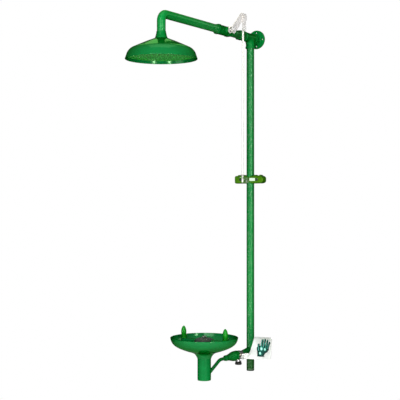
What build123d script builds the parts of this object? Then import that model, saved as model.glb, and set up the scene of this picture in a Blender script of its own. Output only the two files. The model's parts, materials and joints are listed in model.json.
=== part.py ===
from build123d import *
import os
from math import radians, sin, cos, atan2, degrees, sqrt, pi

os.makedirs("parts", exist_ok=True)

# ---------------------------------------------------------------- driving dimensions (mm)
# Row frame: origin at the centre of the wall flange's back face, +Z up, +Y into the wall,
# -Y out into the room, shower arm and eyewash branch in the plane x = 0, levers on +X.
PIPE_R = 16.85          # 1 inch pipe, outside radius
PIPE_B = 13.3           # its bore radius
WALL_OFFSET = 58.0      # wall to standpipe axis
ARM_REACH = 676.0       # standpipe axis to head axis
BOWL_REACH = 374.0      # standpipe axis to bowl axis
PIPE_BOTTOM = -1455.0   # lower (inlet) end of the standpipe
THREAD_LEN = 18.0       # bare threaded end
THREAD_R = 16.4
BRANCH_Z = -1374.0      # eyewash branch axis
FLANGE_R = 41.0
FLANGE_T = 8.0
FLANGE_PCD = 60.0
FLANGE_HOLE_R = 3.5
FITTING_R = 20.0        # tee body radius
COUPLING_AF = 38.0
BEND_R = 30.0           # arm bend, centreline
HEAD_R = 138.5          # bell rim
HEAD_TOP_Z = -95.5
HEAD_RIM_Z = -175.0
SKIN = 3.0              # bell wall
SV_Y = -285.0           # shower valve stem
SV_BALL_R = 17.0
SV_BORE = 12.5
SV_STEM_R = 5.0
LEVER_X = 50.0          # inner face of the lever plate
LEVER_T = 3.0
TIP_Y, TIP_Z = -205.0, 66.0   # pin at the lever's tip
LINK_HOLE_Z = 14.0
ROD_R = 4.0
ROD_X = 49.0
HANDLE_Z = -620.0
HANDLE_H = 34.0
HANDLE_W = 142.0
HANDLE_D = 36.0
HANDLE_BORE = PIPE_R + 0.45
EYE_Z = -612.0          # middle of the rod eye plate
EYE_X, EYE_Y = -8.3, -112.0   # rod axis where it crosses the eye plate
EV_Y = -190.0           # eyewash valve stem
EV_BALL_R = 12.0
EV_BORE = 7.5
EV_STEM_R = 4.0
BOWL_R = 138.0
BOWL_RIM_Z = -1267.0
STEM_R = 27.5
STEM_BORE = 24.6
SPIGOT_R = 27.1         # turned lowest 6 mm of the stem
STEM_TOP_Z = -1352.0
STEM_BOTTOM_Z = -1440.0
HEAD_PITCH = 100.0      # spray head axis from the bowl's middle plane
YOKE_TOP = -1276.0
YOKE_H = 16.0
YOKE_W = 20.0
CAP_R = 10.5
CAP_BOTTOM = -1269.0
CAP_HINGE_DY = 14.0
CAP_HINGE_Z = -1265.0

PY = -WALL_OFFSET                # standpipe axis y
HY = PY - ARM_REACH              # head axis y
BY = PY - BOWL_REACH             # bowl axis y


def cz(r, z0, z1, x=0.0, y=0.0):
    return Pos(x, y, (z0 + z1) / 2) * Cylinder(r, abs(z1 - z0))


def cy(r, y0, y1, x=0.0, z=0.0):
    return Pos(x, (y0 + y1) / 2, z) * Rot(90, 0, 0) * Cylinder(r, abs(y1 - y0))


def cx(r, x0, x1, y=0.0, z=0.0):
    return Pos((x0 + x1) / 2, y, z) * Rot(0, 90, 0) * Cylinder(r, abs(x1 - x0))


def box(x0, x1, y0, y1, z0, z1):
    return Pos((x0 + x1) / 2, (y0 + y1) / 2, (z0 + z1) / 2) * Box(abs(x1 - x0), abs(y1 - y0), abs(z1 - z0))


def hexa(af, t):
    return extrude(RegularPolygon(af / 2, 6, major_radius=False), t / 2, both=True)


def hz(af, z0, z1, x=0.0, y=0.0):
    return Pos(x, y, (z0 + z1) / 2) * hexa(af, abs(z1 - z0))


def hy(af, y0, y1, x=0.0, z=0.0):
    return Pos(x, (y0 + y1) / 2, z) * Rot(90, 0, 0) * hexa(af, abs(y1 - y0))


def hx(af, x0, x1, y=0.0, z=0.0):
    return Pos((x0 + x1) / 2, y, z) * Rot(0, 90, 0) * hexa(af, abs(x1 - x0))


def lathe_z(pts, x=0.0, y=0.0):
    # pts are (radius, z) round a closed outline
    f = make_face(Polyline(*[(r, 0, z) for r, z in pts], close=True))
    return Pos(x, y, 0) * revolve(f, Axis.Z)


def lathe_y(pts, x=0.0, z=0.0):
    # pts are (radius, y) round a closed outline, turned about a line along Y
    f = make_face(Polyline(*[(r, t, 0) for r, t in pts], close=True))
    return Pos(x, 0, z) * revolve(f, Axis.Y)


def smooth_shell(outer, inner, x=0.0, y=0.0):
    # outer and inner are (radius, z) lists that run the same way; both become smooth walls
    o = [(r, 0, z) for r, z in outer]
    i = [(r, 0, z) for r, z in inner]
    e = [Spline(*o), Line(o[-1], i[-1]), Spline(*list(reversed(i))), Line(i[0], o[0])]
    return Pos(x, y, 0) * revolve(make_face(e), Axis.Z)


def stick(r, a, b):
    # round bar from point a to point b
    a, b = Vector(*a), Vector(*b)
    d = b - a
    return Plane(origin=(a + b) / 2, z_dir=d) * Cylinder(r, d.length)


def plate_x(outline, x0, x1):
    # outline is (y, z); the plate lies between x0 and x1
    f = make_face(Polyline(*[(x0, y, z) for y, z in outline], close=True))
    return extrude(f, x1 - x0, dir=(1, 0, 0))


def plate_y(outline, y0, y1):
    # outline is (x, z); the plate lies between y0 and y1
    f = make_face(Polyline(*[(x, y0, z) for x, z in outline], close=True))
    return extrude(f, abs(y1 - y0), dir=(0, 1 if y1 > y0 else -1, 0))


def one(s):
    # the single solid of a result
    if isinstance(s, Solid):
        return s
    v = s.solids()
    return v[0] if len(v) == 1 else Compound(children=list(v))


parts = {}

# ---------------------------------------------------------------- wall fixing and top fitting
flange = cy(FLANGE_R, -FLANGE_T, 0) + cy(22, -15, -FLANGE_T)
flange = fillet(flange.edges().filter_by(GeomType.CIRCLE).filter_by(lambda e: abs(e.radius - FLANGE_R) < 0.01 and e.center().Y < -1), 2.0)
flange -= cy(PIPE_R, -16, -2)
for k in range(4):
    a = radians(90 * k)
    flange -= cy(FLANGE_HOLE_R, -20, 5, FLANGE_PCD / 2 * cos(a), FLANGE_PCD / 2 * sin(a))
parts["wall_flange"] = flange
parts["wall_nipple"] = cy(PIPE_R, -44, -2) - cy(PIPE_B, -45, 0)

tee = cy(FITTING_R, -118, -24) + cz(FITTING_R - 0.6, -46, 0, 0, PY)
# smooth inside sweep between the arm outlet and the standpipe outlet
sweep_path = FilletPolyline((0, -112, 0), (0, PY, 0), (0, PY, -42), radius=32)
tee += sweep(Plane(origin=(0, -112, 0), z_dir=(0, 1, 0)) * Circle(FITTING_R - 0.3), path=sweep_path)
tee += cy(21.5, -118, -108) + cy(21.5, -34, -24) + cz(21.5, -46, -37, 0, PY)
tee -= cy(PIPE_R, -119, -100) + cy(PIPE_R, -44, -23) + cz(PIPE_R, -47, -29, 0, PY)
tee -= cy(PIPE_B, -101, -43) + cz(PIPE_B, -30, 0, 0, PY)
parts["top_tee"] = tee

sp = cz(PIPE_R, PIPE_BOTTOM + THREAD_LEN, -29, 0, PY) + cz(THREAD_R, PIPE_BOTTOM, PIPE_BOTTOM + THREAD_LEN, 0, PY)
sp -= cz(PIPE_B, PIPE_BOTTOM - 1, -28, 0, PY)
sp -= cy(8.0, PY - 20, PY, 0, BRANCH_Z)
parts["standpipe"] = sp

parts["rear_nipple"] = cy(PIPE_R, -147, -100) - cy(PIPE_B, -148, -99)
parts["hex_coupling"] = chamfer(hy(COUPLING_AF, -164, -131).edges().filter_by(lambda e: e.geom_type == GeomType.LINE and abs(e.tangent_at(0.5).Y) < 0.1), 1.0) - cy(PIPE_R, -165, -130)
parts["front_nipple"] = cy(PIPE_R, -252, -148) - cy(PIPE_B, -253, -147)

# ---------------------------------------------------------------- shower ball valve
vb = cy(20.5, -322, -262) + hy(39.5, -339, -320)
vb += cx(12, 10, 31, SV_Y)
vb -= cy(PIPE_R, -340, -323) + cy(SV_BORE, -324, -300) + cy(18.2, -305, -261)
vb -= cx(SV_STEM_R + 0.06, 5, 32, SV_Y)
parts["shower_valve_body"] = vb
cap = hy(39.5, -259, -237) + cy(20.5, -262, -258) + cy(18.2, -264.5, -262)
cap -= cy(PIPE_R, -252, -236) + cy(SV_BORE, -266, -251)
parts["shower_valve_end_cap"] = cap


def seat(yc, rb, ro, bore, a, b):
    s = cy(ro, yc + a, yc + b) - cy(bore, yc + a - 1, yc + b + 1)
    return s - Pos(0, yc, 0) * Sphere(rb + 0.3)


ss = [seat(SV_Y, SV_BALL_R, 18.2, SV_BORE, -20, -11), seat(SV_Y, SV_BALL_R, 18.2, SV_BORE, 11, 20.5)]
parts["shower_valve_seats"] = Compound(children=[one(s) for s in ss])
ball = Pos(0, SV_Y, 0) * Sphere(SV_BALL_R)
ball -= cz(SV_BORE, -30, 30, 0, SV_Y)
ball -= box(SV_BALL_R - 3.2, 30, SV_Y - 2.5, SV_Y + 2.5, -20, 20)
parts["shower_ball"] = one(ball)
stem = cx(SV_STEM_R, 18, 59, SV_Y)
stem += box(SV_BALL_R - 3.2, 18.2, SV_Y - 2.5, SV_Y + 2.5, -4.2, 4.2)
parts["shower_stem"] = stem
parts["shower_packing_nut"] = hx(24, 31, 39, SV_Y) - cx(SV_STEM_R + 0.1, 30, 40, SV_Y)

# lever plate: narrow at the stem, wide at the tip
hub = [(SV_Y + 17 * cos(radians(a)), 17 * sin(radians(a))) for a in range(128, 308, 15)]
lever_outline = hub + [(-240, 22), (-214, 44), (-190, 46), (-180, 56), (-180, 76), (-184, 80), (-222, 80), (-229, 76)]
lever = plate_x(lever_outline, LEVER_X, LEVER_X + LEVER_T)
lever -= cx(SV_STEM_R, LEVER_X - 1, LEVER_X + 5, SV_Y) + cx(4.0, LEVER_X - 1, LEVER_X + 5, TIP_Y, TIP_Z)
parts["shower_lever"] = lever
ln = hx(17, LEVER_X + LEVER_T, LEVER_X + LEVER_T + 5.5, SV_Y) + cx(9.5, LEVER_X - 3, LEVER_X, SV_Y)
parts["shower_lever_nut"] = Compound(children=[one(hx(17, LEVER_X + LEVER_T, LEVER_X + LEVER_T + 5.5, SV_Y) - cx(SV_STEM_R, 40, 70, SV_Y)),
                                               one(cx(9.5, LEVER_X - 3, LEVER_X, SV_Y) - cx(SV_STEM_R, 40, 70, SV_Y))])
LINK_X0, LINK_X1 = LEVER_X + LEVER_T + 0.4, LEVER_X + LEVER_T + 3.4
pin = cx(4.0, LEVER_X - 1.5, LINK_X1 + 0.6, TIP_Y, TIP_Z) + cx(6.5, LINK_X1 + 0.4, LINK_X1 + 3.0, TIP_Y, TIP_Z) + cx(6.0, LEVER_X - 2.0, LEVER_X, TIP_Y, TIP_Z)
parts["lever_pin"] = pin

# ---------------------------------------------------------------- link, pull rod and its nuts
link = box(LINK_X0, LINK_X1, TIP_Y - 13, TIP_Y + 13, LINK_HOLE_Z - 10, TIP_Z + 10)
link = fillet(link.edges().filter_by(Axis.X), 7.0)
link -= cx(4.07, 40, 70, TIP_Y, TIP_Z) + cx(ROD_R, 40, 70, TIP_Y, LINK_HOLE_Z)
parts["rod_link"] = link
rod_a = Vector(ROD_X, TIP_Y, LINK_HOLE_Z)
rod_c = Vector(EYE_X, EYE_Y, EYE_Z)
rod_u = (rod_c - rod_a).normalized()
rod_b = rod_c + rod_u * 20.0
rod = stick(ROD_R, tuple(rod_a), tuple(rod_b)) + Pos(*tuple(rod_a)) * Sphere(ROD_R) + cx(ROD_R, ROD_X, LINK_X1 + 3, TIP_Y, LINK_HOLE_Z)
parts["pull_rod"] = rod


def on_rod(s0, s1, shape):
    # shape built about Z, between s0 and s1 along the rod from the eye plate's crossing point
    c = rod_c + rod_u * ((s0 + s1) / 2)
    return Plane(origin=tuple(c), z_dir=tuple(rod_u)) * shape(abs(s1 - s0))


def rod_nut(s0, s1, af):
    n = on_rod(s0, s1, lambda t: hexa(af, t)) - on_rod(s0 - 1, s1 + 1, lambda t: Cylinder(ROD_R, t))
    return one(n)


hookend = cx(6.5, LINK_X1, LINK_X1 + 2.5, TIP_Y, LINK_HOLE_Z) - cx(ROD_R, 40, 70, TIP_Y, LINK_HOLE_Z)
parts["rod_nuts"] = Compound(children=[rod_nut(-14.5, -8.5, 12), rod_nut(4.6, 10.6, 12), one(hookend)])

# ---------------------------------------------------------------- pull-down handle on the standpipe
z0, z1 = HANDLE_Z - HANDLE_H / 2, HANDLE_Z + HANDLE_H / 2
bar = box(-HANDLE_W / 2, HANDLE_W / 2, PY - HANDLE_D / 2, PY + HANDLE_D / 2, z0, z1)
bar = fillet(bar.edges().filter_by(Axis.X), 9.0)
bar = fillet(bar.edges().filter_by(lambda e: abs(abs(e.center().X) - HANDLE_W / 2) < 0.01), 5.0)
# rounded right-hand end
bar = bar & (box(-90, HANDLE_W / 2 - HANDLE_H / 2, PY - 30, PY + 30, z0 - 5, z1 + 5) + cy(HANDLE_H / 2, PY - 30, PY + 30, HANDLE_W / 2 - HANDLE_H / 2, HANDLE_Z))
for xr in (-53.5, -28.5, 28.5, 53.5):
    rib = Pos(xr, PY, z1 - 1.2) * Rot(90, 0, 0) * Cylinder(5.2, 20)
    bar += rib
bar -= cz(HANDLE_BORE, -700, -500, 0, PY)
for xb in (-41.0, 41.0):
    bar -= cy(3.1, PY - 30, PY + 30, xb, HANDLE_Z)
    bar -= cy(6.2, PY - 30, PY - HANDLE_D / 2 + 5, xb, HANDLE_Z)
    bar -= hy(10.2, PY + HANDLE_D / 2 - 6, PY + 30, xb, HANDLE_Z)
front = bar & box(-90, 90, PY - 30, PY, -700, -500)
rear = bar & box(-90, 90, PY, PY + 30, -700, -500)
# foot of the rod eye is screwed to the front half
front = one(front)
rear = one(rear)
parts["handle_front"] = front - cy(2.5, PY - 30, PY - HANDLE_D / 2 + 1.8, EYE_X, -627)
parts["handle_rear"] = rear
hb = []
hn = []
for xb in (-41.0, 41.0):
    s = cy(3.0, PY - HANDLE_D / 2 + 1, PY + HANDLE_D / 2 - 1, xb, HANDLE_Z) + cy(5.6, PY - HANDLE_D / 2 + 0.6, PY - HANDLE_D / 2 + 5, xb, HANDLE_Z)
    s -= hy(4.0, PY - HANDLE_D / 2, PY - HANDLE_D / 2 + 3, xb, HANDLE_Z)
    hb.append(one(s))
    hn.append(one(hy(10, PY + HANDLE_D / 2 - 6, PY + HANDLE_D / 2 - 1.2, xb, HANDLE_Z) - cy(3.0, PY, PY + 30, xb, HANDLE_Z)))
parts["handle_bolts"] = Compound(children=hb)
parts["handle_nuts"] = Compound(children=hn)
eye = box(EYE_X - 10.5, EYE_X + 10.5, -138, PY - HANDLE_D / 2, EYE_Z - 1.5, EYE_Z + 1.5)
eye = fillet(eye.edges().filter_by(Axis.Z).filter_by(lambda e: e.center().Y < -137), 8.0)
eye += box(EYE_X - 10.5, EYE_X + 10.5, PY - HANDLE_D / 2 - 2.5, PY - HANDLE_D / 2, -634, EYE_Z + 1.5)
slot = box(EYE_X - 5.2, EYE_X + 5.2, -127, -87.5, EYE_Z - 5, EYE_Z + 5) + cz(5.2, EYE_Z - 5, EYE_Z + 5, EYE_X, -127) + cz(5.2, EYE_Z - 5, EYE_Z + 5, EYE_X, -87.5)
eye -= slot
eye -= cy(2.5, -90, -70, EYE_X, -627)
parts["rod_eye"] = eye
parts["rod_eye_screw"] = cy(2.5, PY - HANDLE_D / 2 - 2.5, PY - HANDLE_D / 2 + 1.8, EYE_X, -627)
parts["handle_label"] = one(box(5, 33.5, PY - HANDLE_D / 2 - 0.8, PY - HANDLE_D / 2, -626, -613))

# ---------------------------------------------------------------- shower arm and drench head
arm_path = FilletPolyline((0, -323, 0), (0, HY, 0), (0, HY, -84), radius=BEND_R)
arm_sec = Plane(origin=(0, -323, 0), z_dir=(0, -1, 0)) * (Circle(PIPE_R) - Circle(PIPE_B))
parts["shower_arm"] = sweep(arm_sec, path=arm_path)

collar = lathe_z([(PIPE_R, -68.6), (18.4, -68.6), (18.9, -74), (20.2, -81), (22.3, -88.5), (25.2, HEAD_TOP_Z), (16.9, HEAD_TOP_Z),
                  (16.9, -113), (PIPE_B, -113), (PIPE_B, -84), (PIPE_R, -84)], 0, HY)
parts["head_collar"] = collar
outer = [(28.4, -96.2), (42, -101.8), (57, -107.6), (84, -119.4), (106, -129.3), (113.5, -132.8), (121.5, -138.6), (129.2, -148.4), (134.2, -161.5), (HEAD_R, HEAD_RIM_Z)]
inner = [(28.0, -99.3), (41, -104.8), (56, -110.5), (82.8, -122.2), (104.6, -132.0), (111.8, -135.3), (119.2, -140.7), (126.4, -149.8), (131.2, -162.3), (134.6, HEAD_RIM_Z)]
o = [(r, 0, z) for r, z in outer]
i = [(r, 0, z) for r, z in inner]
bell_edges = [Spline(*o), Line(o[-1], i[-1]), Spline(*list(reversed(i))), Line(i[0], (16.9, 0, -98.9)), Line((16.9, 0, -98.9), (16.9, 0, HEAD_TOP_Z)),
              Line((16.9, 0, HEAD_TOP_Z), (26.4, 0, HEAD_TOP_Z)), Line((26.4, 0, HEAD_TOP_Z), o[0])]
bell = Pos(0, HY, 0) * revolve(make_face(bell_edges), Axis.Z)
# the rim band below the spray plate is a node of its own, so that the mouth stays open to collision
RIM_SPLIT = -157.0
parts["shower_bell"] = one(bell & box(-200, 200, HY - 200, HY + 200, RIM_SPLIT, 0))
parts["bell_rim"] = one(bell & box(-200, 200, HY - 200, HY + 200, -300, RIM_SPLIT))
parts["head_gasket"] = cz(24, -101.4, -99.4, 0, HY) - cz(16.9, -102, -99, 0, HY)
parts["head_nut"] = hz(44, -109.4, -101.4, 0, HY) - cz(16.9, -110, -101, 0, HY)
plate = cz(129.6, -160, -157.5, 0, HY) + (cz(129.6, -164, -160, 0, HY) - cz(127.2, -165, -159, 0, HY))
holes = []
for rr, n in ((18, 8), (40, 14), (62, 20), (84, 28), (106, 34)):
    for k in range(n):
        a = 2 * pi * (k + 0.5 * (n % 4 == 0)) / n
        holes.append(cz(1.8, -166, -150, rr * cos(a), HY + rr * sin(a)))
plate -= holes
parts["spray_plate"] = one(plate)

# ---------------------------------------------------------------- eyewash branch and valve
base = Plane(origin=(0, PY - 6, BRANCH_Z), z_dir=(0, -1, 0)) * Rot(0, 0, 0) * Ellipse(14.5, 25.0)
mid = Plane(origin=(0, PY - 40, BRANCH_Z), z_dir=(0, -1, 0)) * Ellipse(15.0, 20.0)
tip = Plane(origin=(0, -142, BRANCH_Z), z_dir=(0, -1, 0)) * Circle(13.0)
if abs(base.bounding_box().size.Z) < 40:
    base = Plane(origin=(0, PY - 6, BRANCH_Z), z_dir=(0, -1, 0)) * Ellipse(25.0, 14.5)
    mid = Plane(origin=(0, PY - 40, BRANCH_Z), z_dir=(0, -1, 0)) * Ellipse(20.0, 15.0)
br = loft([base.face(), mid.face(), tip.face()])
br -= cz(PIPE_R, -1450, -1300, 0, PY)
br -= cy(EV_BORE, -143, -50, 0, BRANCH_Z)
parts["branch_outlet"] = one(br)

ev = lathe_y([(0, -255), (12.0, -255), (12.8, -246), (15.0, -232), (18.4, -217), (20.5, -207), (21.0, -198), (21.0, -177), (0, -177)], 0, BRANCH_Z)
ev += cx(9.5, 12, 27, EV_Y, BRANCH_Z)
ev -= cy(EV_BORE, -256, -200, 0, BRANCH_Z) + cy(13.2, -205, -176, 0, BRANCH_Z)
ev -= cy(7.0, -256, -244, 0, BRANCH_Z)
ev -= cx(EV_STEM_R + 0.06, 5, 28, EV_Y, BRANCH_Z)
parts["eyewash_valve_body"] = ev
ec = cy(19.0, -177, -158, 0, BRANCH_Z) + hy(33, -158, -142, 0, BRANCH_Z) + cy(13.2, -178.5, -177, 0, BRANCH_Z)
ec += cz(7.0, -1394.5, -1380, 0, -161)
ec -= cy(EV_BORE, -180, -141, 0, BRANCH_Z) + cz(4.06, -1396, -1374, 0, -161)
parts["eyewash_valve_end_cap"] = ec
es = []
for a, b in ((-15, -8), (8, 11.5)):
    s = cy(13.2, EV_Y + a, EV_Y + b, 0, BRANCH_Z) - cy(EV_BORE, EV_Y - 30, EV_Y + 30, 0, BRANCH_Z) - Pos(0, EV_Y, BRANCH_Z) * Sphere(EV_BALL_R + 0.3)
    es.append(one(s))
parts["eyewash_valve_seats"] = Compound(children=es)
eb = Pos(0, EV_Y, BRANCH_Z) * Sphere(EV_BALL_R)
eb -= cz(EV_BORE, -1400, -1350, 0, EV_Y)
eb -= box(EV_BALL_R - 2.6, 20, EV_Y - 2, EV_Y + 2, BRANCH_Z - 15, BRANCH_Z + 15)
parts["eyewash_ball"] = one(eb)
est = cx(EV_STEM_R, 13, 47, EV_Y, BRANCH_Z) + box(EV_BALL_R - 2.6, 13.2, EV_Y - 2, EV_Y + 2, BRANCH_Z - 3.4, BRANCH_Z + 3.4)
parts["eyewash_stem"] = est
parts["eyewash_packing_nut"] = hx(19, 27, 34, EV_Y, BRANCH_Z) - cx(EV_STEM_R + 0.1, 26, 35, EV_Y, BRANCH_Z)

# push flag: a tab on the stem, bent into a broad plate that faces the user
FX, FT, FY = 38.0, 2.5, -165.0
tab = box(FX, FX + FT, EV_Y, FY, BRANCH_Z - 12, BRANCH_Z + 12) + cx(12, FX, FX + FT, EV_Y, BRANCH_Z)
flag_outline = [(FX, BRANCH_Z - 12), (FX, BRANCH_Z + 12), (56, BRANCH_Z + 12), (62, BRANCH_Z + 22), (81, -1295), (86, -1289), (161, -1287), (166, -1292),
                (161, -1374), (156, -1381), (100, -1384)]
flag = tab + plate_y(flag_outline, FY, FY - FT)
flag -= cx(EV_STEM_R, FX - 1, FX + 5, EV_Y, BRANCH_Z)
parts["flag_handle"] = flag
parts["flag_nut"] = hx(13, FX + FT, FX + FT + 5, EV_Y, BRANCH_Z) - cx(EV_STEM_R, 30, 60, EV_Y, BRANCH_Z)


# raised hand sign on the flag
def capsule(a, b, w):
    a, b = Vector(*a), Vector(*b)
    d = b - a
    s = Pos(*tuple((a + b) / 2)) * Rot(0, 0, degrees(atan2(d.Y, d.X))) * SlotCenterToCenter(max(d.length, 0.1), w)
    return s


HAND_T = 1.8
# (x, z) of each finger's root and tip, and its width, four fingers and the thumb
fingers = [((116.8, -1330.2), (123.5, -1299.3), 10.2), ((128.3, -1328.4), (135.6, -1297.6), 10.4), ((139.9, -1328.3), (147.1, -1300.4), 10.0), ((147.5, -1331.9), (155.2, -1308.2), 9.2), ((104.2, -1340.9), (104.2, -1319.8), 10.0)]
palm = [(94.0, -1331.2), (106.1, -1326.0), (153.8, -1321.3), (152.3, -1334.0), (145.6, -1344.7), (133.1, -1356.7), (129.3, -1369.6), (96.4, -1370.8), (97.9, -1356.3), (93.5, -1343.9)]
hand = make_face(Polyline(*[(x, z) for x, z in palm], close=True))
hand = fillet(hand.vertices(), 2.5)
for a, b, w in fingers:
    hand += capsule(a, b, w)
hand = Plane(origin=(0, FY - FT, 0), x_dir=(1, 0, 0), z_dir=(0, -1, 0)) * hand
parts["hand_sign"] = extrude(hand, HAND_T, dir=(0, -1, 0))

# black knob on its spindle, under the valve's inlet end
parts["flow_spindle"] = cz(4.0, -1405, -1383, 0, -161) + cz(5.4, -1402, -1395.2, 0, -161)
kn = lathe_z([(0, -1404), (11, -1404), (13.4, -1405.5), (14.5, -1408), (14.5, -1412.5), (13.2, -1415), (0, -1415)], 0, -161)
for e in (-1, 1):
    wing = Pos(0, -161, 0) * Rot(0, 0, 33) * (box(e * 6.8, e * 12.6, -3.2, 3.2, -1406, -1400.5) + Pos(e * 9.7, 0, -1400.5) * Rot(90, 0, 0) * Cylinder(2.9, 6.4))
    kn += wing
kn -= cz(4.0, -1405, -1390, 0, -161)
parts["flow_knob"] = kn

# supply tube down to the bowl stem
TUBE_R, TUBE_B = 7.0, 5.5
tb0, tb1, tb2 = (0, -244, BRANCH_Z), (0, -312, BRANCH_Z), (0, -408, BRANCH_Z - 50)
tpath = FilletPolyline(tb0, tb1, tb2, radius=45)
tsec = Plane(origin=tb0, z_dir=(0, -1, 0)) * (Circle(TUBE_R) - Circle(TUBE_B))
parts["supply_tube"] = sweep(tsec, path=tpath)
parts["tube_nut"] = (hy(22, -270, -255, 0, BRANCH_Z) + lathe_y([(0, -276), (8.2, -276), (10.5, -270), (0, -270)], 0, BRANCH_Z)) - cy(TUBE_R, -280, -254, 0, BRANCH_Z)
tu = (Vector(*tb2) - Vector(*tb1)).normalized()
c2 = Vector(*tb2)
fit_a, fit_b = c2 - tu * 14, c2 + tu * 10
parts["stem_fitting"] = stick(9.8, tuple(fit_a), tuple(fit_b)) - stick(TUBE_R, tuple(fit_a - tu * 5), tuple(fit_b + tu * 5))

# ---------------------------------------------------------------- bowl, stem, strainer
bo = [(BOWL_R, BOWL_RIM_Z), (134.5, -1281), (126, -1294.3), (112, -1304.6), (95, -1312.6), (71, -1321.4), (51, -1327.6), (38.5, -1335), (31.5, -1344.5), (28.2, STEM_TOP_Z)]
bi = [(134.6, BOWL_RIM_Z), (131.3, -1280), (123, -1292), (109.6, -1301.8), (93.2, -1309.6), (70, -1318.2), (54, -1322.8), (48, -1324)]
o = [(r, 0, z) for r, z in bo]
i = [(r, 0, z) for r, z in bi]
bowl_edges = [Spline(*o), Line(o[-1], (24.6, 0, STEM_TOP_Z)), Line((24.6, 0, STEM_TOP_Z), (24.6, 0, -1324)), Line((24.6, 0, -1324), i[-1]),
              Spline(*list(reversed(i))), Line(i[0], o[0])]
bowl = Pos(0, BY, 0) * revolve(make_face(bowl_edges), Axis.Z)
parts["bowl"] = one(bowl)
st = cz(STEM_R, STEM_BOTTOM_Z + 6, STEM_TOP_Z, 0, BY) + cz(SPIGOT_R, STEM_BOTTOM_Z, STEM_BOTTOM_Z + 6, 0, BY) - cz(STEM_BORE, STEM_BOTTOM_Z - 1, STEM_TOP_Z + 1, 0, BY)
st -= stick(9.8, tuple(c2 - tu * 30), tuple(c2 + tu * 12))
parts["bowl_stem"] = one(st)
db = cz(44, -1324, -1321, 0, BY) + cz(STEM_BORE, -1366, -1324, 0, BY)
db -= cz(21.5, -1367, -1320, 0, BY)
parts["drain_body"] = db
do = [(44.0, -1321), (44.0, -1296), (42.6, -1285), (37.5, -1276), (28, -1270), (6.5, -1268)]
di = [(42.0, -1321), (42.0, -1296), (40.7, -1286), (36.0, -1278), (27.4, -1272), (6.5, -1270)]
dome = lathe_z(do + list(reversed(di)), 0, BY)
cut = [box(-60, 60, BY - YOKE_W / 2 - 0.3, BY + YOKE_W / 2 + 0.3, YOKE_TOP - YOKE_H - 0.4, YOKE_TOP + 0.4)]
for k in range(24):
    a = 2 * pi * (k + 0.5) / 24
    if abs(sin(a)) > 0.3:
        cut.append(Pos(43 * cos(a), BY + 43 * sin(a), -1304) * Rot(0, 0, degrees(a)) * Box(8, 4, 22))
for rr, n in ((16, 8), (24, 14)):
    for k in range(n):
        a = 2 * pi * (k + 0.5) / n
        if abs(rr * sin(a)) > 0:
            cut.append(cz(2.0, -1280, -1260, rr * cos(a), BY + rr * sin(a)))
dome -= cut
parts["strainer_dome"] = one(dome)

yoke = box(-HEAD_PITCH, HEAD_PITCH, BY - YOKE_W / 2, BY + YOKE_W / 2, YOKE_TOP - YOKE_H, YOKE_TOP)
yoke += cz(YOKE_W / 2, YOKE_TOP - YOKE_H, YOKE_TOP, HEAD_PITCH, BY) + cz(YOKE_W / 2, YOKE_TOP - YOKE_H, YOKE_TOP, -HEAD_PITCH, BY)
yoke = fillet(yoke.edges().filter_by(lambda e: abs(e.center().Z - YOKE_TOP) < 0.01), 5.0)
yoke += cz(15, -1302, YOKE_TOP - 1, 0, BY)
yoke -= cz(6.5, -1310, -1270, 0, BY) + cx(4.0, -HEAD_PITCH, HEAD_PITCH, BY, YOKE_TOP - YOKE_H / 2)
for sx in (-1, 1):
    yoke -= cz(5.0, YOKE_TOP - YOKE_H / 2, YOKE_TOP + 1, sx * HEAD_PITCH, BY)
parts["yoke"] = one(yoke)
ri = cz(6.5, -1437, -1263, 0, BY) + stick(TUBE_R, (0, BY, BRANCH_Z - 50 - 24 * 50 / 96), tuple(c2 + tu * 0.5))
ri -= cz(4.5, -1433, -1284, 0, BY) + stick(TUBE_B - 1, (0, BY, BRANCH_Z - 50 - 24 * 50 / 96), tuple(c2 - tu * 1))
parts["riser"] = one(ri)
parts["yoke_nut"] = hz(19, -1268, -1261.5, 0, BY) - cz(6.5, -1269, -1263, 0, BY)

# ---------------------------------------------------------------- spray heads with hinged dust caps
HZ = CAP_HINGE_Z
HYC = BY + CAP_HINGE_DY
pins = []
for name, sx in (("left", -1), ("right", 1)):
    x = sx * HEAD_PITCH
    h = cz(12, YOKE_TOP, -1270, x, BY) + cz(7.0, -1270, -1263.5, x, BY) + cz(5.0, YOKE_TOP - YOKE_H / 2 + 0.2, YOKE_TOP, x, BY)
    for e in (-1, 1):
        ear = box(x + e * 3.0, x + e * 5.2, BY + 10.9, HYC + 3.2, YOKE_TOP, HZ) + cx(3.2, x + e * 3.0, x + e * 5.2, HYC, HZ)
        h += ear
    h -= cz(3.0, -1284, -1266, x, BY) + cx(1.5, x - 8, x + 8, HYC, HZ)
    for k in range(6):
        a = 2 * pi * k / 6
        h -= cz(0.8, -1268, -1260, x + 4.4 * cos(a), BY + 4.4 * sin(a))
    parts["spray_head_" + name] = one(h)
    pins.append(one(cx(1.5, x - 6.2, x + 6.2, HYC, HZ)))
    co = [(9.6, CAP_BOTTOM), (9.8, -1262), (CAP_R + 0.3, -1252), (CAP_R, -1245), (8.6, -1237), (5.4, -1230), (1.8, -1226.2)]
    shell = make_face([Line((0, 0, -1261.4), (8.2, 0, -1261.4)), Line((8.2, 0, -1261.4), (8.2, 0, CAP_BOTTOM)), Line((8.2, 0, CAP_BOTTOM), (9.6, 0, CAP_BOTTOM)),
                       Spline(*[(r, 0, z) for r, z in co]), Line((1.8, 0, -1226.2), (0, 0, -1225.6)), Line((0, 0, -1225.6), (0, 0, -1261.4))])
    c = Pos(x, BY, 0) * revolve(shell, Axis.Z)
    c -= cz(8.0, -1262, -1246, x, BY)
    lug = box(x - 2.6, x + 2.6, BY + 8.7, HYC, HZ - 3.0, HZ + 3.2) + cx(3.2, x - 2.6, x + 2.6, HYC, HZ)
    c += lug
    c -= cx(1.56, x - 9, x + 9, HYC, HZ)
    parts["dust_cap_" + name] = one(c)

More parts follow.
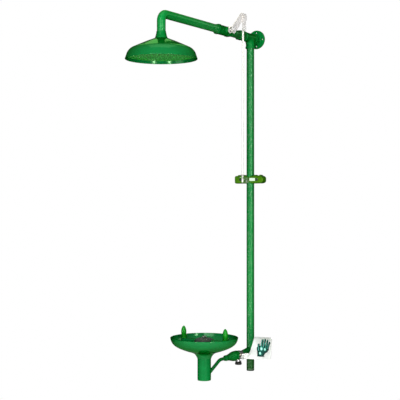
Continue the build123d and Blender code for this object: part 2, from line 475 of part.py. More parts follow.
parts["cap_pins"] = Compound(children=pins)

for n, s in parts.items():
    s = one(s)
    export_step(s, "parts/%s.step" % n)
    print("%-24s solids %d  volume %.1f" % (n, len(s.solids()), s.volume))
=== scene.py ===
import json
import math
import random

import bmesh
import bpy
from mathutils import Matrix, Vector


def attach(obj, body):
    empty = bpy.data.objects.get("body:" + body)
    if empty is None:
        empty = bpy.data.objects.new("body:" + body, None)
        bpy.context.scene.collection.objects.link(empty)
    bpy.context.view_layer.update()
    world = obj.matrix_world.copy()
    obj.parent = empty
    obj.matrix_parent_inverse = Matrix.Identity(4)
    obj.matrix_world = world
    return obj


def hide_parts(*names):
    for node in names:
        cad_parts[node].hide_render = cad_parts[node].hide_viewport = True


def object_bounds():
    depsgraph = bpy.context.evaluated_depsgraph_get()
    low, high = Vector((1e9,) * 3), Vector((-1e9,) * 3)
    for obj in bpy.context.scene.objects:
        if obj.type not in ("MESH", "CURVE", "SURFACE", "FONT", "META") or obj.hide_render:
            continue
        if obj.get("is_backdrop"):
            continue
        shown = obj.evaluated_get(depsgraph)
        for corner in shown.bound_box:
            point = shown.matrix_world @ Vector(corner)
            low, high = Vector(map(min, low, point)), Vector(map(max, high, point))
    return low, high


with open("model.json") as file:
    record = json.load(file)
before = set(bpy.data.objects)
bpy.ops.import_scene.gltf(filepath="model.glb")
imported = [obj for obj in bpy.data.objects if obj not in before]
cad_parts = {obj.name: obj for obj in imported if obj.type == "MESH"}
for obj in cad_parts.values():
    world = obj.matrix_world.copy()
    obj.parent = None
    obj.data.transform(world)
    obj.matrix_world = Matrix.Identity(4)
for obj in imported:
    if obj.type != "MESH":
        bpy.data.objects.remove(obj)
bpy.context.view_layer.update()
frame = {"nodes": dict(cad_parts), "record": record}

N = frame["nodes"]
scene = bpy.context.scene
random.seed(7)

# ------------------------------------------------------------------ places, in metres, in the row frame
PY = -0.058                 # standpipe axis
HY = PY - 0.676             # drench head axis
BY = PY - 0.374             # bowl axis
BZ = -1.374                 # eyewash branch
PIPE_R = 0.01685


# ------------------------------------------------------------------ materials
def srgb(r, g, b):
    f = lambda v: (v / 255 / 12.92) if v / 255 <= 0.04045 else (((v / 255 + 0.055) / 1.055) ** 2.4)
    return (f(r), f(g), f(b), 1.0)


def over(c, t):
    """The colour that reads as c through a clear layer of tint t."""
    return (min(c[0] / t[0], 1), min(c[1] / t[1], 1), min(c[2] / t[2], 1), 1.0)


def scaled(c, k):
    return (min(c[0] * k, 1), min(c[1] * k, 1), min(c[2] * k, 1), 1.0)


class Mat:
    """A node material with a Principled shader and small helpers."""

    def __init__(self, name, round_edge=0.0006):
        self.m = bpy.data.materials.new(name)
        self.m.use_nodes = True
        self.t = self.m.node_tree
        self.b = self.t.nodes["Principled BSDF"]
        self.co = self.t.nodes.new("ShaderNodeTexCoord").outputs["Object"]
        self.round_edge = round_edge

    def node(self, kind, **kw):
        n = self.t.nodes.new(kind)
        for k, v in kw.items():
            setattr(n, k, v)
        return n

    def link(self, a, b):
        self.t.links.new(a, b)

    def set(self, **kw):
        for k, v in kw.items():
            self.b.inputs[k.replace("_", " ")].default_value = v
        return self

    def coords(self, scale=(1, 1, 1), rot=(0, 0, 0)):
        n = self.node("ShaderNodeMapping")
        n.inputs["Scale"].default_value = scale
        n.inputs["Rotation"].default_value = rot
        self.link(self.co, n.inputs["Vector"])
        return n.outputs["Vector"]

    def noise(self, scale, detail=3.0, rough=0.5, vec=None):
        n = self.node("ShaderNodeTexNoise")
        n.inputs["Scale"].default_value = scale
        n.inputs["Detail"].default_value = detail
        n.inputs["Roughness"].default_value = rough
        self.link(vec or self.co, n.inputs["Vector"])
        return n.outputs["Fac"]

    def ramp(self, fac, stops):
        n = self.node("ShaderNodeValToRGB")
        e = n.color_ramp.elements
        while len(e) < len(stops):
            e.new(0.5)
        for el, (p, c) in zip(e, stops):
            el.position = p
            el.color = c
        self.link(fac, n.inputs["Fac"])
        return n.outputs["Color"]

    def remap(self, fac, lo, hi, a=0.0, b=1.0):
        """fac in a..b becomes lo..hi, and stays inside it."""
        n = self.node("ShaderNodeMapRange")
        n.inputs["From Min"].default_value = a
        n.inputs["From Max"].default_value = b
        n.inputs["To Min"].default_value = lo
        n.inputs["To Max"].default_value = hi
        self.link(fac, n.inputs["Value"])
        return n.outputs["Result"]

    def math(self, op, a, b=None, clamp=False):
        n = self.node("ShaderNodeMath", operation=op, use_clamp=clamp)
        for i, v in enumerate((a, b)):
            if v is None:
                continue
            if isinstance(v, (int, float)):
                n.inputs[i].default_value = v
            else:
                self.link(v, n.inputs[i])
        return n.outputs["Value"]

    def mix(self, fac, a, b):
        n = self.node("ShaderNodeMix", data_type="RGBA")
        if isinstance(fac, (int, float)):
            n.inputs["Factor"].default_value = fac
        else:
            self.link(fac, n.inputs["Factor"])
        for s, v in ((6, a), (7, b)):
            if isinstance(v, tuple):
                n.inputs[s].default_value = v
            else:
                self.link(v, n.inputs[s])
        return n.outputs[2]

    def bump(self, heights):
        """heights: [(socket, strength, distance in metres)], each on top of the last."""
        last = None
        if self.round_edge:
            e = self.node("ShaderNodeBevel", samples=4)
            e.inputs["Radius"].default_value = self.round_edge
            last = e.outputs["Normal"]
        for h, s, d in heights:
            n = self.node("ShaderNodeBump")
            n.inputs["Strength"].default_value = s
            n.inputs["Distance"].default_value = d
            self.link(h, n.inputs["Height"])
            if last is not None:
                self.link(last, n.inputs["Normal"])
            last = n.outputs["Normal"]
        self.link(last, self.b.inputs["Normal"])
        return self

    def chips(self, amount):
        """1 where the finish is knocked off: convex edges, broken up by noise."""
        g = self.node("ShaderNodeNewGeometry")
        e = self.remap(g.outputs["Pointiness"], 0.0, 1.0, 0.535, 0.60)
        n = self.remap(self.noise(300, 4.0, 0.65), 0.0, 1.0, 0.52, 0.62)
        return self.math("MULTIPLY", self.math("MULTIPLY", e, n), amount, True)

    def dust(self, amount):
        """Settled dust: more on faces that look up, patchy."""
        g = self.node("ShaderNodeNewGeometry")
        sep = self.node("ShaderNodeSeparateXYZ")
        self.link(g.outputs["Normal"], sep.inputs["Vector"])
        up = self.remap(sep.outputs["Z"], 0.0, 1.0, 0.45, 1.0)
        n = self.remap(self.noise(60, 5.0, 0.7), 0.2, 1.0, 0.40, 0.65)
        return self.math("MULTIPLY", self.math("MULTIPLY", up, n), amount, True)


def paint(name, base, rough=0.22, peel=0.11, bare=None, wear=0.6, spec=0.40, tint=(0.24, 0.57, 0.30, 1)):
    """Powder coat: orange peel, tone drift, dust, chips on edges that show steel; with bare, a bare thread band and
    painted shade low on the pipe.
    """
    m = Mat(name)
    base = over(base, tint)
    drift = m.noise(7.0, 3.0, 0.55)
    col = m.ramp(drift, [(0.28, scaled(base, 0.84)), (0.50, base), (0.74, scaled(base, 1.14))])
    speck = m.remap(m.noise(210.0, 4.0, 0.65), 0.0, 1.0, 0.60, 0.74)
    col = m.mix(m.math("MULTIPLY", speck, 0.30), col, scaled(base, 0.66))
    col = m.mix(m.dust(0.035), col, srgb(150, 160, 140))
    rgh = m.remap(m.noise(26.0, 5.0, 0.6), rough - 0.06, rough + 0.10, 0.3, 0.7)
    rgh = m.math("ADD", rgh, m.math("MULTIPLY", speck, 0.08))
    met = m.chips(wear)
    if bare is not None:
        sep = m.node("ShaderNodeSeparateXYZ")
        m.link(m.co, sep.inputs["Vector"])
        z = m.math("ADD", sep.outputs["Z"], m.remap(m.noise(260.0, 3.0), -0.0014, 0.0014, 0.2, 0.8))
        zone = m.math("MULTIPLY", m.math("LESS_THAN", z, bare[1]), m.math("GREATER_THAN", z, bare[0]))
        patchy = m.remap(m.noise(330.0, 4.0, 0.7), 0.05, 0.50, 0.38, 0.60)
        met = m.math("MAXIMUM", met, m.math("MULTIPLY", zone, patchy))
        # painted shade: below z -1.360 the coat darkens to a dark olive at z -1.392
        low = m.remap(sep.outputs["Z"], 0.0, 0.75, -1.360, -1.392)
        col = m.mix(low, col, (base[0] * 10.0, base[1] * 0.22, base[2] * 0.16, 1))
        # painted shade: below the bare thread band the pipe goes near black
        end = m.math("LESS_THAN", z, bare[0])
        col = m.mix(end, col, scaled(base, 0.06))
    steel = m.ramp(m.noise(420.0, 4.0, 0.7), [(0.3, srgb(120, 118, 112)), (0.7, srgb(190, 190, 186))])
    col = m.mix(met, col, steel)
    rgh = m.math("ADD", m.math("MULTIPLY", met, 0.12), rgh)
    m.link(col, m.b.inputs["Base Color"])
    m.link(rgh, m.b.inputs["Roughness"])
    m.link(met, m.b.inputs["Metallic"])
    m.set(Coat_Roughness=0.10, Coat_IOR=1.015, Coat_Tint=tint, Specular_IOR_Level=spec)
    m.link(m.math("SUBTRACT", 1.0, met, True), m.b.inputs["Coat Weight"])
    m.bump([(m.noise(430.0, 2.0, 0.45), peel, 0.00010), (m.noise(1500.0, 1.0, 0.4), 0.10, 0.00004),
            (m.math("SUBTRACT", 1.0, met), 0.5, 0.00008)])
    return m.m


def plastic(name, base, rough=0.24, coat=0.2, grain=0.15, sss=0.0, spec=0.45, scuffs=0.20, dust=0.08, tint=None):
    """Moulded plastic: faint flow marks, fine grain, rubbed gloss, scuffs, dust."""
    m = Mat(name)
    if tint:
        base = over(base, tint)
    drift = m.noise(11.0, 3.0, 0.55, m.coords((1, 1, 3.0)))
    col = m.ramp(drift, [(0.26, scaled(base, 0.86)), (0.52, base), (0.76, scaled(base, 1.12))])
    sc = m.noise(1.0, 5.0, 0.7, m.coords((70, 480, 70), (0.4, 0.2, 0.9)))
    scuff = m.remap(sc, 0.0, 1.0, 0.64, 0.74)
    col = m.mix(m.math("MULTIPLY", scuff, scuffs), col, scaled(base, 1.7))
    col = m.mix(m.dust(dust), col, srgb(150, 158, 146))
    m.link(col, m.b.inputs["Base Color"])
    r = m.remap(m.noise(40.0, 5.0, 0.6), rough - 0.05, rough + 0.09, 0.3, 0.7)
    m.link(m.math("ADD", r, m.math("MULTIPLY", scuff, 0.18)), m.b.inputs["Roughness"])
    m.set(Coat_Weight=coat, Coat_Roughness=0.07, Specular_IOR_Level=spec)
    if tint:
        m.set(Coat_Weight=1.0, Coat_IOR=1.02, Coat_Tint=tint)
    if sss:
        m.set(Subsurface_Weight=sss, Subsurface_Scale=0.002)
        m.b.inputs["Subsurface Radius"].default_value = (0.3, 1.0, 0.3)
    hs = [(m.noise(900.0, 2.0, 0.5), grain, 0.00006), (drift, 0.12, 0.0005)]
    m.bump(hs)
    return m.m


def relief_sign_painted_light(name, y0, stops):
    """Glossy teal on a relief, coloured by height as painted light: painted shade dark at the sheet (y = y0), painted
    highlight light on the highest places.
    """
    m = Mat(name)
    sep = m.node("ShaderNodeSeparateXYZ")
    m.link(m.co, sep.inputs["Vector"])
    h = m.math("MULTIPLY", m.math("SUBTRACT", y0, sep.outputs["Y"]), 100.0)
    h = m.math("ADD", h, m.remap(m.noise(140.0, 3.0, 0.6), -0.03, 0.03, 0.2, 0.8))
    m.link(m.ramp(h, stops), m.b.inputs["Base Color"])
    m.link(m.remap(m.noise(60.0, 4.0, 0.6), 0.18, 0.30, 0.3, 0.7), m.b.inputs["Roughness"])
    m.set(Specular_IOR_Level=0.35, Coat_Weight=1.0, Coat_IOR=1.02, Coat_Tint=(0.55, 0.85, 0.78, 1))
    m.bump([(m.noise(900.0, 2.0, 0.5), 0.12, 0.00005)])
    return m.m


def metal(name, base, rough=0.28, lines=(1, 1, 60), scale=30.0, line=0.30, stain=0.22, dark=0.78, edge=0.0005, body=1.0, dents=0.025):
    """Brushed, drawn or plated metal: stretched grain, smudges, shallow dents, dull spots."""
    m = Mat(name, edge)
    grain = m.noise(scale, 6.0, 0.75, m.coords(lines))
    smudge = m.noise(34.0, 5.0, 0.6)
    spots = m.remap(m.noise(260.0, 3.0, 0.6), 0.0, 1.0, 0.64, 0.72)
    col = m.ramp(grain, [(0.22, scaled(base, dark)), (0.55, base), (0.80, scaled(base, 1.06))])
    col = m.mix(m.math("MULTIPLY", m.remap(smudge, 0.0, 1.0, 0.48, 0.74), stain), col, scaled(base, 0.60))
    col = m.mix(m.math("MULTIPLY", spots, 0.25), col, scaled(base, 0.45))
    m.link(col, m.b.inputs["Base Color"])
    r = m.math("ADD", m.remap(grain, rough - 0.07, rough + 0.09, 0.3, 0.7), m.math("MULTIPLY", m.remap(smudge, 0.0, 1.0, 0.5, 0.8), 0.12))
    m.link(m.math("ADD", r, m.math("MULTIPLY", spots, 0.1)), m.b.inputs["Roughness"])
    m.set(Metallic=body)
    m.bump([(grain, line, 0.00006), (m.noise(80.0, 2.0, 0.5), dents, 0.0003)])
    return m.m


GREEN = (0.0010, 0.182, 0.034, 1)
DEEP = (0.38, 0.74, 0.45, 1)
M = {
    "green_paint": paint("green_powder_coat", GREEN),
    # standpipe: bare thread band, and painted shade darkening the pipe below z -1.360
    "standpipe": paint("green_powder_coat_pipe", GREEN, rough=0.22, bare=(-1.4512, -1.4440)),
    # painted light: the arm gets a brighter copy of the green powder coat with a lighter tint, standing in for light
    # falling on it
    "arm_paint_painted_light": paint("green_powder_coat_arm_painted_light", (0.0018, 0.232, 0.046, 1), tint=(0.40, 0.78, 0.48, 1)),
    "stem_green": plastic("green_abs_satin", (0.0008, 0.160, 0.036, 1), rough=0.46, spec=0.22, dust=0.0, scuffs=0.04, tint=DEEP),
    "bell_green": plastic("green_abs_gloss", (0.0008, 0.156, 0.036, 1), rough=0.13, spec=0.60, dust=0.015, scuffs=0.05, tint=DEEP),
    # painted light: the spray plate gets a brighter, yellower copy of the bell's green ABS, standing in for light
    # inside the bell's mouth
    "plate_green_painted_light": plastic("green_abs_plate_painted_light", (0.020, 0.26, 0.030, 1), rough=0.30, spec=0.3, dust=0.0),
    "cap_green": plastic("bright_green_cap", (0.005, 0.22, 0.009, 1), rough=0.24, sss=0.05, spec=0.5, dust=0.02, tint=DEEP),
    "handle_green": plastic("yellow_green_nylon", (0.055, 0.185, 0.003, 1), rough=0.30, grain=0.3, spec=0.4, dust=0.0, tint=(0.40, 0.55, 0.25, 1)),
    "stainless": metal("stainless_brushed", (0.80, 0.775, 0.765, 1), rough=0.40, lines=(1, 45, 1), line=0.12, stain=0.14, body=0.8),
    "stainless_flag": metal("stainless_sheet", (0.90, 0.91, 0.92, 1), rough=0.34, lines=(1, 1, 50), line=0.2),
    # partly painted highlight: a stainless rod made mostly diffuse and near white, so it reads as lit white under any
    # lamp
    "stainless_rod_painted_highlight": metal("stainless_rod_painted_highlight", (0.90, 0.90, 0.89, 1), rough=0.50, lines=(1, 1, 0.02), scale=300.0, line=0.0, stain=0.04, dark=0.96, edge=0, body=0.35, dents=0.0),
    "zinc": metal("zinc_plate", (0.66, 0.67, 0.68, 1), rough=0.36, lines=(1, 1, 1), scale=120.0, line=0.12, stain=0.4),
    "chrome": metal("chrome_plate", (0.80, 0.79, 0.80, 1), rough=0.14, lines=(1, 1, 1), scale=60.0, line=0.04, stain=0.25, dark=0.9),
    # painted shade: chrome with its base darkened to 0.27, standing in for the shadows round the eyewash valve's end
    # cap and packing nut
    "chrome_painted_shade": metal("chrome_plate_painted_shade", (0.27, 0.26, 0.27, 1), rough=0.15, lines=(1, 1, 1), scale=90.0, line=0.06, stain=0.5, dark=0.7),
    "brass": metal("brass_turned", (0.66, 0.45, 0.18, 1), rough=0.30, lines=(1, 1, 30), stain=0.5),
    "ptfe": plastic("ptfe_white", (0.80, 0.80, 0.78, 1), rough=0.45, coat=0.0),
    "steel_mid": metal("steel_passivated", (0.21, 0.37, 0.17, 1), rough=0.34, lines=(1, 1, 1), scale=120.0, line=0.12, stain=0.4),
    "steel_dark": metal("steel_dulled", (0.10, 0.125, 0.11, 1), rough=0.34, lines=(1, 1, 1), scale=120.0, line=0.12, stain=0.4),
    "rubber": plastic("epdm_black", (0.022, 0.022, 0.022, 1), rough=0.62, coat=0.0, grain=0.6),
    "black_plastic": plastic("black_moulded", (0.004, 0.004, 0.004, 1), rough=0.30, coat=0.1, spec=0.3, dust=0.01),
    # painted light on the hand: near-black painted shade at the sheet, light cyan painted highlights on the domes
    "sign_teal": relief_sign_painted_light("teal_sign_painted_light", -0.1679, [(0.02, (0.0005, 0.010, 0.008, 1)), (0.26, (0.002, 0.035, 0.030, 1)), (0.40, (0.008, 0.075, 0.065, 1)),
                                                     (0.51, (0.06, 0.27, 0.24, 1)), (0.66, (0.38, 0.82, 0.78, 1)), (0.80, (0.9, 1.0, 1.0, 1))]),
    "label_white": plastic("label_pale", (0.62, 0.76, 0.66, 1), rough=0.36, coat=0.1),
    "strainer_grey": plastic("strainer_dark", (0.010, 0.020, 0.014, 1), rough=0.28, coat=0.1, spec=0.3, dust=0.0, scuffs=0.05),
}
slot_of = {s["node"]: s["material_slot"] for s in frame["record"]["subparts"]}
special = {"shower_arm": "arm_paint_painted_light", "bowl_stem": "stem_green", "rod_eye": "steel_mid", "handle_bolts": "steel_dark", "eyewash_valve_end_cap": "chrome_painted_shade", "eyewash_packing_nut": "chrome_painted_shade", "standpipe": "standpipe", "spray_plate": "plate_green_painted_light", "flag_handle": "stainless_flag", "pull_rod": "stainless_rod_painted_highlight"}
body_of = {n: b for b, ns in frame["record"]["behaviour"]["bodies"].items() for n in ns}
for name, o in N.items():
    o.data.materials.clear()
    o.data.materials.append(M[special.get(name, slot_of[name])])


# ------------------------------------------------------------------ mesh helpers
def put(name, bm, body, slot, mat=None, nodes=()):
    me = bpy.data.meshes.new(name)
    bm.to_mesh(me)
    bm.free()
    return put_mesh(name, me, body, slot, mat, nodes)


def put_mesh(name, me, body, slot, mat=None, nodes=()):
    o = bpy.data.objects.new(name, me)
    scene.collection.objects.link(o)
    for p in me.polygons:
        p.use_smooth = True
    me.materials.clear()
    me.materials.append(M[mat or slot])
    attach(o, body)
    if nodes:
        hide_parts(*nodes)
    return o


def baked(me, voxel, passes, keep, factor=0.5):
    """A new mesh: remeshed at voxel metres, smoothed, thinned out to the share keep of its faces."""
    o = bpy.data.objects.new("tmp", me)
    scene.collection.objects.link(o)
    r = o.modifiers.new("r", "REMESH")
    r.mode = "VOXEL"
    r.voxel_size = voxel
    if passes:
        s = o.modifiers.new("s", "SMOOTH")
        s.factor = factor
        s.iterations = passes
    if keep < 1:
        d = o.modifiers.new("d", "DECIMATE")
        d.ratio = keep
    dg = bpy.context.evaluated_depsgraph_get()
    out = bpy.data.meshes.new_from_object(o.evaluated_get(dg))
    bpy.data.objects.remove(o)
    return out


def soften(node, voxel=0.5, passes=3, keep=0.35, mat=None):
    """A copy of a node with every edge rounded over, as cast, moulded or deburred pieces have."""
    src = N[node]
    me = src.data.copy()
    me.transform(src.matrix_world)
    bm = bmesh.new()
    bm.from_mesh(me)
    bmesh.ops.remove_doubles(bm, verts=bm.verts, dist=1e-6)
    bm.to_mesh(me)
    bm.free()
    out = baked(me, voxel / 1000, passes, keep)
    return put_mesh(node + "_piece", out, body_of[node], slot_of[node], mat or special.get(node), (node,))


def curve_through(pts, per=8):
    """Points on a smooth line through pts (Catmull-Rom)."""
    p = [Vector(q) for q in pts]
    p = [p[0] * 2 - p[1]] + p + [p[-1] * 2 - p[-2]]
    out = []
    for i in range(1, len(p) - 2):
        for k in range(per):
            t = k / per
            a, b, c, d = p[i - 1:i + 3]
            out.append(0.5 * ((2 * b) + (c - a) * t + (2 * a - 5 * b + 4 * c - d) * t * t + (3 * b - a - 3 * c + d) * t ** 3))
    out.append(p[-2])
    return out


def turned(bm, pts, x=0.0, y=0.0, seg=192):
    """A closed outline of (radius, z) in mm turned about the vertical line at x, y in metres."""
    n = len(pts)
    rings = []
    for k in range(seg):
        a = 2 * math.pi * k / seg
        c, s = math.cos(a), math.sin(a)
        rings.append([bm.verts.new((x + r * c / 1000, y + r * s / 1000, z / 1000)) for r, z in pts])
    for k in range(seg):
        A, B = rings[k], rings[(k + 1) % seg]
        for i in range(n):
            j = (i + 1) % n
            bm.faces.new((A[i], B[i], B[j], A[j]))
    bmesh.ops.recalc_face_normals(bm, faces=bm.faces)


def lip(a, b, n=8):
    """Half circle from a to b, bulging along the way from left to right of a to b."""
    a, b = Vector(a), Vector(b)
    m, h = (a + b) / 2, (b - a) / 2
    side = Vector((h.y, -h.x))
    if side.y > 0:
        side = -side
    return [m - h * math.cos(math.pi * k / n) + side * math.sin(math.pi * k / n) for k in range(1, n)]


def helix(bm, r0, r1, pitch, length, seg=40, taper=1.0):
    """A thread ridge about Z from z = 0 to length, root radius r0, crest r1, in mm."""
    turns = length / pitch
    n = int(turns * seg)
    prev = None
    first = None
    for k in range(n + 1):
        a = 2 * math.pi * k / seg
        z = length * k / n
        e = min(1.0, k / (seg * 0.4), (n - k) / (seg * 0.4))
        top = r0 + (r1 - r0) * max(e, 0.02)
        prof = [(r0 - 0.3, z - pitch * 0.42), (top, z - pitch * 0.08), (top, z + pitch * 0.08), (r0 - 0.3, z + pitch * 0.42)]
        ring = [bm.verts.new((r * math.cos(a) / 1000, r * math.sin(a) / 1000, h / 1000)) for r, h in prof]
        if prev:
            for i in range(4):
                j = (i + 1) % 4
                bm.faces.new((prev[i], prev[j], ring[j], ring[i]))
        else:
            first = ring
        prev = ring
    bm.faces.new(first[::-1])
    bm.faces.new(prev)
    bmesh.ops.recalc_face_normals(bm, faces=bm.faces)


def ball(bm, c, rx, ry, rz, u=20, v=12):
    mat = Matrix.Translation(Vector(c) / 1000) @ Matrix.Diagonal((rx / 1000, ry / 1000, rz / 1000, 1))
    bmesh.ops.create_uvsphere(bm, u_segments=u, v_segments=v, radius=1.0, matrix=mat)


# ------------------------------------------------------------------ drench bell and eyewash bowl
HYmm, BYmm = HY * 1000, BY * 1000
bell_out = [(28.4, -96.2), (42, -101.8), (57, -107.6), (84, -119.4), (106, -129.3), (113.5, -132.8), (121.5, -138.6), (129.2, -148.4), (134.2, -161.5), (138.4, -173.4)]
bell_in = [(28.0, -99.3), (41, -104.8), (56, -110.5), (82.8, -122.2), (104.6, -132.0), (111.8, -135.3), (119.2, -140.7), (126.4, -149.8), (131.2, -162.3), (135.0, -173.4)]
o_ = curve_through(bell_out)
i_ = curve_through(bell_in)
prof = [(17.0, -95.5), (24.0, -95.5), (26.6, -95.6)] + [tuple(p) for p in o_] + [tuple(p) for p in lip(o_[-1], i_[-1])] + [tuple(p) for p in reversed(i_)] + [(17.0, -98.9)]
bm = bmesh.new()
turned(bm, prof, 0, HY, 224)
put("bell_piece", bm, "pipework", "bell_green", None, [n for n in ("shower_bell", "bell_rim") if n in N])

bowl_out = [(138.0, -1268.4), (134.5, -1281), (126, -1294.3), (112, -1304.6), (95, -1312.6), (71, -1321.4), (51, -1327.6), (38.5, -1335), (31.5, -1344.5), (28.2, -1352)]
bowl_in = [(134.4, -1268.4), (131.3, -1280), (123, -1292), (109.6, -1301.8), (93.2, -1309.6), (70, -1318.2), (54, -1322.8), (48, -1324)]
o_ = curve_through(bowl_out)
i_ = curve_through(bowl_in)
rim = [(-p).to_tuple() for p in lip(-i_[0], -o_[0])]
prof = [tuple(p) for p in reversed(i_)] + rim + [tuple(p) for p in o_] + [(24.7, -1352), (24.7, -1324)]
bm = bmesh.new()
turned(bm, prof, 0, BY, 224)
put("bowl_piece", bm, "pipework", "bell_green", None, ("bowl",))

# raised nozzle seats round the holes of the spray plate
bm = bmesh.new()
for rr, n in ((18, 8), (40, 14), (62, 20), (84, 28), (106, 34)):
    for k in range(n):
        a = 2 * math.pi * (k + 0.5 * (n % 4 == 0)) / n
        turned(bm, [(1.8, -159.9), (1.8, -161.2), (2.4, -161.5), (3.2, -161.2), (3.7, -159.9)], rr * math.cos(a) / 1000, HY + rr * math.sin(a) / 1000, 14)
# the nozzle seats take the spray plate's brighter green, which is painted light
put("spray_nozzles", bm, "pipework", "bell_green", "plate_green_painted_light")

# ------------------------------------------------------------------ rounded castings, mouldings and plates
for node, v, p, k in (
    ("wall_flange", 0.6, 2, 0.25), ("top_tee", 0.7, 5, 0.30), ("hex_coupling", 0.45, 2, 0.35), ("shower_valve_body", 0.6, 4, 0.35),
    ("shower_valve_end_cap", 0.5, 2, 0.35), ("shower_packing_nut", 0.35, 2, 0.5), ("shower_lever", 0.45, 2, 0.35),
    ("shower_lever_nut", 0.3, 2, 0.5), ("rod_link", 0.4, 2, 0.35), ("rod_nuts", 0.25, 2, 0.5), ("rod_eye", 0.35, 2, 0.4),
    ("handle_front", 0.5, 3, 0.35), ("handle_rear", 0.5, 3, 0.35), ("head_collar", 0.5, 3, 0.35), ("branch_outlet", 0.6, 4, 0.35),
    ("eyewash_valve_body", 0.5, 4, 0.35), ("eyewash_valve_end_cap", 0.45, 2, 0.35), ("eyewash_packing_nut", 0.3, 2, 0.5),
    ("flag_handle", 0.45, 2, 0.30), ("flag_nut", 0.3, 2, 0.5), ("tube_nut", 0.4, 2, 0.4), ("stem_fitting", 0.4, 3, 0.4),
    ("yoke", 0.6, 3, 0.3), ("yoke_nut", 0.3, 2, 0.5), ("strainer_dome", 0.5, 2, 0.35), ("dust_cap_left", 0.4, 3, 0.4),
    ("dust_cap_right", 0.4, 3, 0.4), ("spray_head_left", 0.35, 1, 0.5), ("spray_head_right", 0.35, 1, 0.5),
    ("flow_knob", 0.35, 3, 0.5), ("handle_label", 0.3, 2, 0.6),
):
    soften(node, v, p, k)

# ------------------------------------------------------------------ hand sign: domed fingers, palm and pads
bm = bmesh.new()
Y0 = -167.9
fingers = [((116.8, -1330.2), (123.3, -1299.6), 4.5), ((128.3, -1328.4), (135.4, -1298.0), 4.6), ((139.9, -1328.3), (146.9, -1300.8), 4.4),
           ((147.5, -1331.9), (156.2, -1308.6), 4.1), ((104.4, -1343.0), (103.4, -1320.2), 4.6)]
for (ax, az), (bx, bz), r in fingers:
    for k in range(15):
        t = k / 14
        rr = r * (1.0 - 0.12 * t + 0.07 * math.exp(-((t - 0.42) / 0.10) ** 2) - 0.05 * math.exp(-((t - 0.68) / 0.06) ** 2))
        ball(bm, (ax + (bx - ax) * t, Y0, az + (bz - az) * t), rr, rr * 1.25, rr, 18, 12)
for cx_, cz_, rx, rz, d in ((124.0, -1336.5, 29.5, 13.5, 3.8), (121.5, -1344.0, 26.5, 13.0, 4.2), (115.5, -1353.5, 19.5, 12.0, 4.2), (113.2, -1361.0, 16.8, 10.5, 3.8), (113.0, -1368.5, 16.8, 9.0, 3.4)):
    ball(bm, (cx_, Y0, cz_), rx, d, rz, 40, 20)
for cx_, cz_, r, d in ((119.7, -1336.5, 8.5, 8.6), (136.0, -1337.5, 7.0, 8.2), (113.6, -1355.5, 7.0, 9.0)):
    ball(bm, (cx_, Y0, cz_), r, d, r * 1.15, 24, 14)
me = bpy.data.meshes.new("hand_raw")
bm.to_mesh(me)
bm.free()
hand = baked(me, 0.00042, 4, 0.4)
for v in hand.vertices:
    if v.co.y > -0.16745:
        v.co.y = -0.16745
    if v.co.z < -1.3705:
        v.co.z = -1.3705
put_mesh("hand_relief", hand, "flag", "sign_teal", None, ("hand_sign",))

# ------------------------------------------------------------------ threads
bm = bmesh.new()
helix(bm, 16.35, 16.82, 2.2, 15.0)
bmesh.ops.translate(bm, verts=bm.verts, vec=(0, PY, -1.4535))
put("inlet_thread", bm, "pipework", "green_paint", "standpipe")

top = Vector((49, -205, 14))
eye = Vector((-8.3, -112, -612))
u = (eye - top).normalized()
bm = bmesh.new()
helix(bm, 3.98, 4.30, 1.25, 34.0, 28)
rot = u.to_track_quat("Z", "Y").to_matrix().to_4x4()
bmesh.ops.transform(bm, verts=bm.verts, matrix=Matrix.Translation((eye - u * 16.5) / 1000) @ rot)
put("rod_thread", bm, "pull_rod_set", "stainless", "stainless_rod_painted_highlight")

# ------------------------------------------------------------------ ring lines on the dust caps
for sx in (-1, 1):
    bm = bmesh.new()
    for zc, rc in ((-1266.2, 9.55), (-1263.6, 9.6)):
        turned(bm, [(rc - 0.3, zc - 0.8), (rc + 0.45, zc - 0.4), (rc + 0.45, zc + 0.4), (rc - 0.3, zc + 0.8)], sx * 0.1, BY, 72)
    side = "left" if sx < 0 else "right"
    put("cap_rings_" + side, bm, "cap_" + side, "cap_green")


# ------------------------------------------------------------------ floor, light, camera
def add_floor():
    me = bpy.data.meshes.new("floor")
    bm = bmesh.new()
    bmesh.ops.create_circle(bm, cap_ends=True, radius=2.9, segments=96)
    bm.to_mesh(me)
    bm.free()
    o = bpy.data.objects.new("floor", me)
    o.location = (0, -0.45, -2.309)
    scene.collection.objects.link(o)
    m = Mat("floor_pale")
    m.link(m.ramp(m.noise(3.0, 3.0), [(0.3, (0.80, 0.80, 0.80, 1)), (0.7, (0.84, 0.84, 0.84, 1))]), m.b.inputs["Base Color"])
    m.set(Roughness=0.7)
    me.materials.append(m.m)
    o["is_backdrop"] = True


add_floor()


def area(name, loc, target, w, h, power, color=(1, 1, 1)):
    d = bpy.data.lights.new(name, "AREA")
    d.shape = "RECTANGLE"
    d.size, d.size_y = w, h
    d.energy = power
    d.color = color
    o = bpy.data.objects.new(name, d)
    o.location = loc
    o.rotation_euler = (Vector(target) - Vector(loc)).to_track_quat("-Z", "Y").to_euler()
    scene.collection.objects.link(o)
    return o


def soft(name, loc, target, w, h, radiance, color=(1, 1, 1)):
    return area(name, loc, target, w, h, radiance * math.pi * w * h, color)


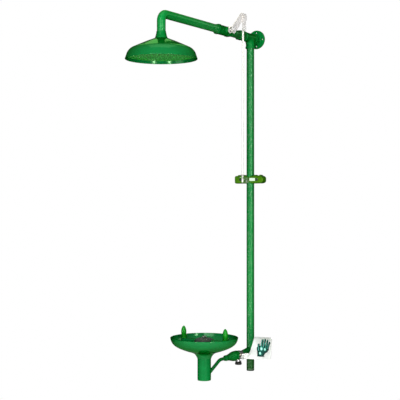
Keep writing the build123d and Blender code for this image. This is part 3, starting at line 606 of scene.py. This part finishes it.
soft("key", (1.2, -4.9, 1.2), (0, -0.4, -0.7), 3.0, 3.0, 4.4)
soft("left_softbox", (-1.6, -3.3, -1.75), (0.05, -0.3, -1.3), 1.6, 1.5, 2.7)
soft("right_softbox", (3.2, -2.2, -0.35), (0, -0.4, -0.5), 0.50, 2.0, 20.0, (1.0, 0.99, 0.90))
soft("top_softbox", (0.2, -0.9, 2.6), (0, -0.5, 0), 2.4, 2.4, 1.6, (1.0, 0.98, 0.86))
soft("rear_sky", (-1.25, 1.2, 1.85), (0, -0.73, -0.1), 1.7, 1.1, 2.6, (1.0, 0.92, 0.62))
soft("low_front_left", (0.2, -2.93, -1.5), (0, -0.7, -0.3), 0.32, 0.32, 38.0, (1.0, 0.98, 0.80))
soft("low_front_right", (1.94, -1.77, -1.5), (0, -0.7, -0.3), 0.32, 0.32, 34.0, (1.0, 0.98, 0.80))
soft("knob_glint", (2.0, -1.8, -1.79), (0, -0.16, -1.4), 0.4, 0.24, 11.0)
soft("rear_right_softbox", (1.65, 2.27, 0.75), (0.03, -0.25, 0.05), 1.0, 0.8, 2.4)
soft("rear_low_softbox", (1.46, 2.23, -1.83), (0.04, -0.18, -1.37), 0.8, 0.6, 0.5)
soft("rod_strip", (1.2, -2.6, -0.4), (0.03, -0.18, -0.3), 0.16, 1.2, 5.0)

w = bpy.data.worlds.new("studio")
scene.world = w
w.use_nodes = True
wt = w.node_tree
wt.nodes.clear()
out = wt.nodes.new("ShaderNodeOutputWorld")
mixs = wt.nodes.new("ShaderNodeMixShader")
lp = wt.nodes.new("ShaderNodeLightPath")
tc = wt.nodes.new("ShaderNodeTexCoord")
sp = wt.nodes.new("ShaderNodeSeparateXYZ")
mr = wt.nodes.new("ShaderNodeMapRange")
bg1 = wt.nodes.new("ShaderNodeBackground")
bg2 = wt.nodes.new("ShaderNodeBackground")
wt.links.new(tc.outputs["Generated"], sp.inputs[0])
wt.links.new(sp.outputs["Z"], mr.inputs["Value"])
mr.inputs["From Min"].default_value = 0.15
mr.inputs["From Max"].default_value = 0.75
mr.inputs["To Min"].default_value = 0.07
mr.inputs["To Max"].default_value = 0.60
wt.links.new(mr.outputs["Result"], bg1.inputs["Strength"])
bg1.inputs["Color"].default_value = (0.95, 0.98, 0.95, 1)
bg2.inputs["Color"].default_value = (1, 1, 1, 1)
bg2.inputs["Strength"].default_value = 1.0
wt.links.new(lp.outputs["Is Camera Ray"], mixs.inputs[0])
wt.links.new(bg1.outputs[0], mixs.inputs[1])
wt.links.new(bg2.outputs[0], mixs.inputs[2])
wt.links.new(mixs.outputs[0], out.inputs["Surface"])

cam_d = bpy.data.cameras.new("camera")
cam_d.sensor_width = 36.0
cam_d.lens = 87.8
cam_d.clip_end = 60
cam = bpy.data.objects.new("camera", cam_d)
cam.location = (2.1411, -3.7633, -0.7159)
cam.rotation_euler = Vector((-0.54432, 0.83887, 0.0016)).to_track_quat("-Z", "Y").to_euler()
scene.collection.objects.link(cam)
scene.camera = cam
scene.view_settings.view_transform = "Standard"

a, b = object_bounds()
